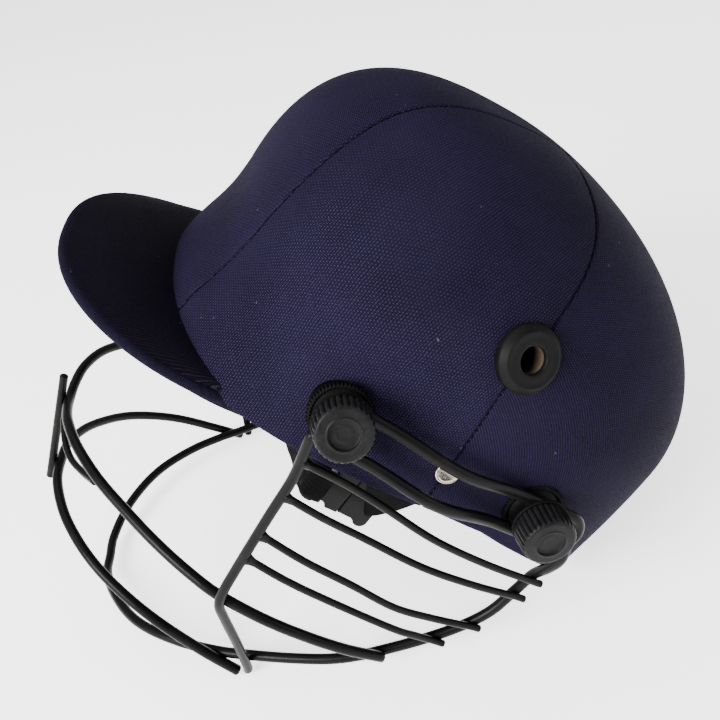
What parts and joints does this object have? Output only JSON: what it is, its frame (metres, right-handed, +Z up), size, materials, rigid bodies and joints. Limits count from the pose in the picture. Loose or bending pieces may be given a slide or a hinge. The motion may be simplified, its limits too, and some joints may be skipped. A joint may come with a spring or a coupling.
{
  "type": "cricket helmet with face guard",
  "caption": "Cloth covered cricket helmet with a peak, padded liner, chin strap with side buckle and a welded wire face guard held by turned knobs.",
  "frame": {"origin": "middle of the bounding box's underside, on the surface the helmet rests on", "axes": "X to the wearer's left; -Y to the front of the helmet, where the peak and guard are; Z up from the surface it rests on. The helmet leans forward by 37 degrees, as in the picture."},
  "size_m": [0.2604, 0.3112, 0.2289],
  "materials": {
    "cloth": "finely woven navy cloth",
    "shell": "moulded shell, hidden under the cloth",
    "board": "stiff board inside the peak",
    "liner": "closed impact foam",
    "pad": "brushed cloth over soft foam",
    "fitting": "satin moulded plastic",
    "rivet": "polished",
    "webbing": "ribbed webbing",
    "rubber": "knurled",
    "steel": "plain zinc",
    "knob": "fluted, lightly dusty",
    "guard_steel": "black satin coating"
  },
  "bodies": {
    "helmet": {"shell": "shell", "cover_front": "cloth", "cover_left": "cloth", "cover_right": "cloth", "cover_rear": "cloth", "peak_board": "board", "peak_top_cloth": "cloth", "peak_under_cloth": "cloth", "peak_binding": "cloth", "impact_liner": "liner", "front_pad": "pad", "crown_pad": "pad", "left_pad": "pad", "right_pad": "pad", "rear_pad": "pad", "left_eyelet": "fitting", "right_eyelet": "fitting", "left_eyelet_ring": "fitting", "right_eyelet_ring": "fitting", "left_rivet": "rivet", "right_rivet": "rivet", "rivet_washers": "rivet", "left_strap": "webbing", "right_strap": "webbing", "buckle_socket": "fitting", "buckle_plug": "fitting", "left_front_seat": "rubber", "left_front_bolt": "steel", "left_rear_seat": "rubber", "left_rear_bolt": "steel", "right_front_seat": "rubber", "right_front_bolt": "steel", "right_rear_seat": "rubber", "right_rear_bolt": "steel"},
    "guard": {"upper_bar": "guard_steel", "lower_bar": "guard_steel", "edge_bar": "guard_steel", "left_slot_loop": "guard_steel", "right_slot_loop": "guard_steel", "left_front_rod": "guard_steel", "right_front_rod": "guard_steel", "left_side_wires": "guard_steel", "right_side_wires": "guard_steel", "centre_rod": "guard_steel", "centre_brace": "guard_steel"},
    "left_front_washer_body": {"left_front_washer": "steel"},
    "left_front_knob_body": {"left_front_knob": "knob"},
    "left_rear_washer_body": {"left_rear_washer": "steel"},
    "left_rear_knob_body": {"left_rear_knob": "knob"},
    "right_front_washer_body": {"right_front_washer": "steel"},
    "right_front_knob_body": {"right_front_knob": "knob"},
    "right_rear_washer_body": {"right_rear_washer": "steel"},
    "right_rear_knob_body": {"right_rear_knob": "knob"}
  },
  "joints": [
    {"name": "guard_slide", "type": "slide", "parent": "helmet", "child": "guard", "axis": [0, -0.7309, 0.6825], "range_m": [0, 0.0045]},
    {"name": "left_front_lift", "type": "slide", "parent": "helmet", "child": "left_front_washer_body", "axis": [0.9556, 0.0357, 0.2927], "range_m": [0, 0.0024]},
    {"name": "left_front_turn", "type": "hinge", "parent": "left_front_washer_body", "child": "left_front_knob_body", "pos_m": [0.11687, -0.00138, 0.14885], "axis": [0.9556, 0.0357, 0.2927], "range_deg": [0, 1080]},
    {"name": "left_rear_lift", "type": "slide", "parent": "helmet", "child": "left_rear_washer_body", "axis": [0.9948, 0.0993, -0.0214], "range_m": [0, 0.0024]},
    {"name": "left_rear_turn", "type": "hinge", "parent": "left_rear_washer_body", "child": "left_rear_knob_body", "pos_m": [0.11683, 0.06568, 0.08488], "axis": [0.9948, 0.0993, -0.0214], "range_deg": [0, 1080]},
    {"name": "right_front_lift", "type": "slide", "parent": "helmet", "child": "right_front_washer_body", "axis": [-0.9556, 0.0357, 0.2927], "range_m": [0, 0.0024]},
    {"name": "right_front_turn", "type": "hinge", "parent": "right_front_washer_body", "child": "right_front_knob_body", "pos_m": [-0.11687, -0.00138, 0.14885], "axis": [-0.9556, 0.0357, 0.2927], "range_deg": [0, 1080]},
    {"name": "right_rear_lift", "type": "slide", "parent": "helmet", "child": "right_rear_washer_body", "axis": [-0.9948, 0.0993, -0.0214], "range_m": [0, 0.0024]},
    {"name": "right_rear_turn", "type": "hinge", "parent": "right_rear_washer_body", "child": "right_rear_knob_body", "pos_m": [-0.11683, 0.06568, 0.08488], "axis": [-0.9948, 0.0993, -0.0214], "range_deg": [0, 1080]}
  ],
  "couplings": [
    {"joint": "left_front_turn", "follows": "left_front_lift", "rad_per_m": 7853.9},
    {"joint": "left_rear_turn", "follows": "left_rear_lift", "rad_per_m": 7853.9},
    {"joint": "right_front_turn", "follows": "right_front_lift", "rad_per_m": 7853.9},
    {"joint": "right_rear_turn", "follows": "right_rear_lift", "rad_per_m": 7853.9}
  ]
}
